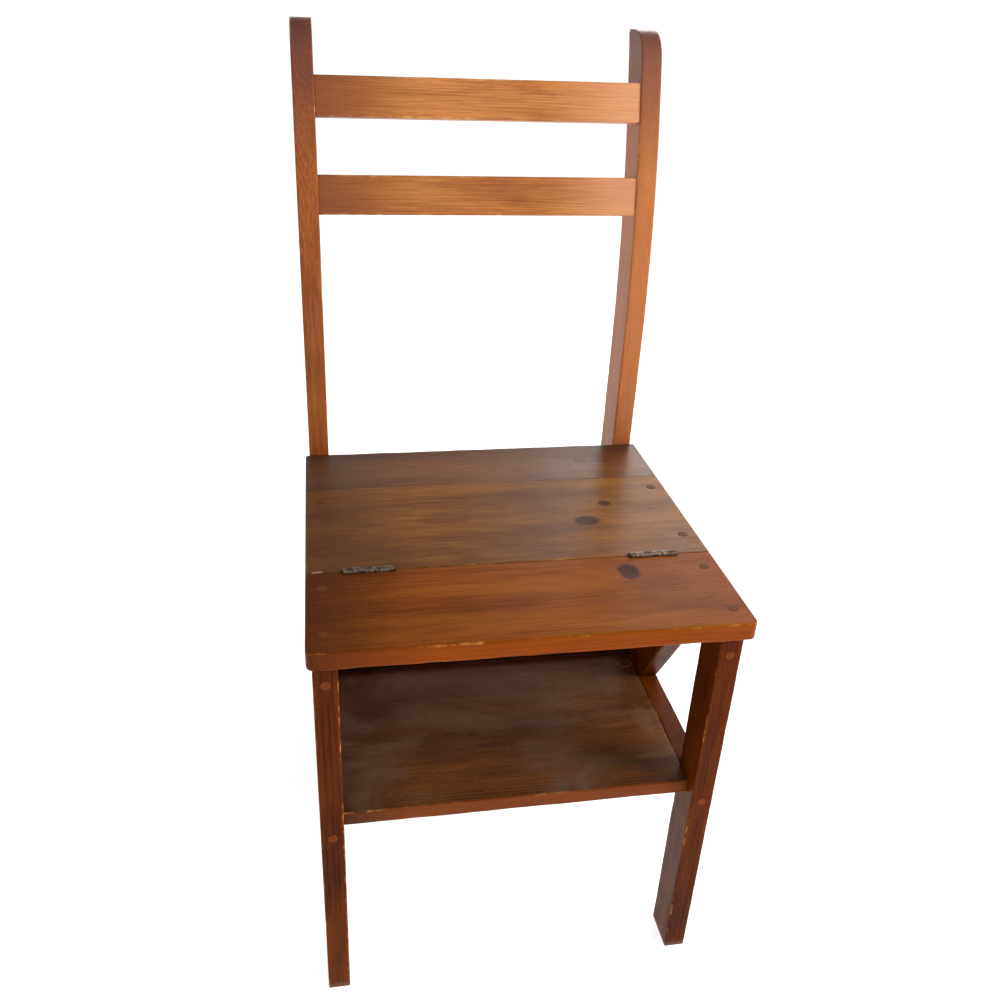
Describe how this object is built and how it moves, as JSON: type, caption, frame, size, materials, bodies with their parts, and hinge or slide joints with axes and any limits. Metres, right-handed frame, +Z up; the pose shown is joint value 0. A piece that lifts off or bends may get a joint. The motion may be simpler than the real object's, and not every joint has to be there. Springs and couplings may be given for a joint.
{
  "type": "folding library step chair",
  "caption": "Wooden side chair with a slatted back and a low shelf, whose back half swings over hinges across the seat to make a step ladder.",
  "frame": {"origin": "on the floor, under the middle of the whole chair", "axes": "+Z up, +X to the right as seen from in front of the chair, +Y from the seat's front edge towards the back"},
  "size_m": [0.394, 0.4682, 0.894],
  "materials": {
    "seat_wood": "reddish brown stained pine, semi-gloss varnish",
    "step_wood": "dusty, worn stained pine",
    "slat_wood": "orange brown stained pine, semi-gloss varnish",
    "frame_wood": "reddish brown stained pine, semi-gloss varnish, arrises worn pale",
    "plug_wood": "stained plugs sanded flush",
    "dowel_wood": "bare beech, hidden",
    "hinge_steel": "dull, darkened plated steel",
    "screw_steel": "dull zinc-plated steel"
  },
  "bodies": {
    "front_half": {"front_leg_left": "frame_wood", "front_leg_right": "frame_wood", "front_seat_plugs": "plug_wood", "front_seat_rail_left": "frame_wood", "front_seat_rail_right": "frame_wood", "front_seat_screws": "screw_steel", "front_stringer_left": "frame_wood", "front_stringer_plugs": "plug_wood", "front_stringer_right": "frame_wood", "front_stringer_screws": "screw_steel", "hinge_front_leaf_left": "hinge_steel", "hinge_front_leaf_right": "hinge_steel", "hinge_front_screws": "screw_steel", "hinge_pin_left": "hinge_steel", "hinge_pin_right": "hinge_steel", "leg_plugs": "plug_wood", "leg_screws": "screw_steel", "seat_front_board": "seat_wood", "shelf_board": "step_wood", "shelf_plugs": "plug_wood", "shelf_rail_left": "frame_wood", "shelf_rail_right": "frame_wood", "shelf_screws": "screw_steel"},
    "back_half": {"back_post_left": "frame_wood", "back_post_right": "frame_wood", "back_seat_plugs": "plug_wood", "back_seat_rail_left": "frame_wood", "back_seat_rail_right": "frame_wood", "back_seat_screws": "screw_steel", "back_stringer_left": "frame_wood", "back_stringer_plugs": "plug_wood", "back_stringer_right": "frame_wood", "back_stringer_screws": "screw_steel", "hinge_back_leaf_left": "hinge_steel", "hinge_back_leaf_right": "hinge_steel", "hinge_back_screws": "screw_steel", "lower_back_slat": "slat_wood", "post_plugs": "plug_wood", "post_screws": "screw_steel", "seat_dowels": "dowel_wood", "seat_middle_board": "seat_wood", "seat_rear_board": "seat_wood", "slat_dowels": "dowel_wood", "step_plugs": "plug_wood", "step_rail_left": "frame_wood", "step_rail_right": "frame_wood", "step_screws": "screw_steel", "third_step_board": "step_wood", "top_step_board": "step_wood", "upper_back_slat": "slat_wood"}
  },
  "joints": [
    {"name": "seat_fold", "type": "hinge", "parent": "front_half", "child": "back_half", "pos_m": [0, -0.11409, 0.4405], "axis": [1, 0, 0], "range_deg": [0, 177.7]}
  ]
}
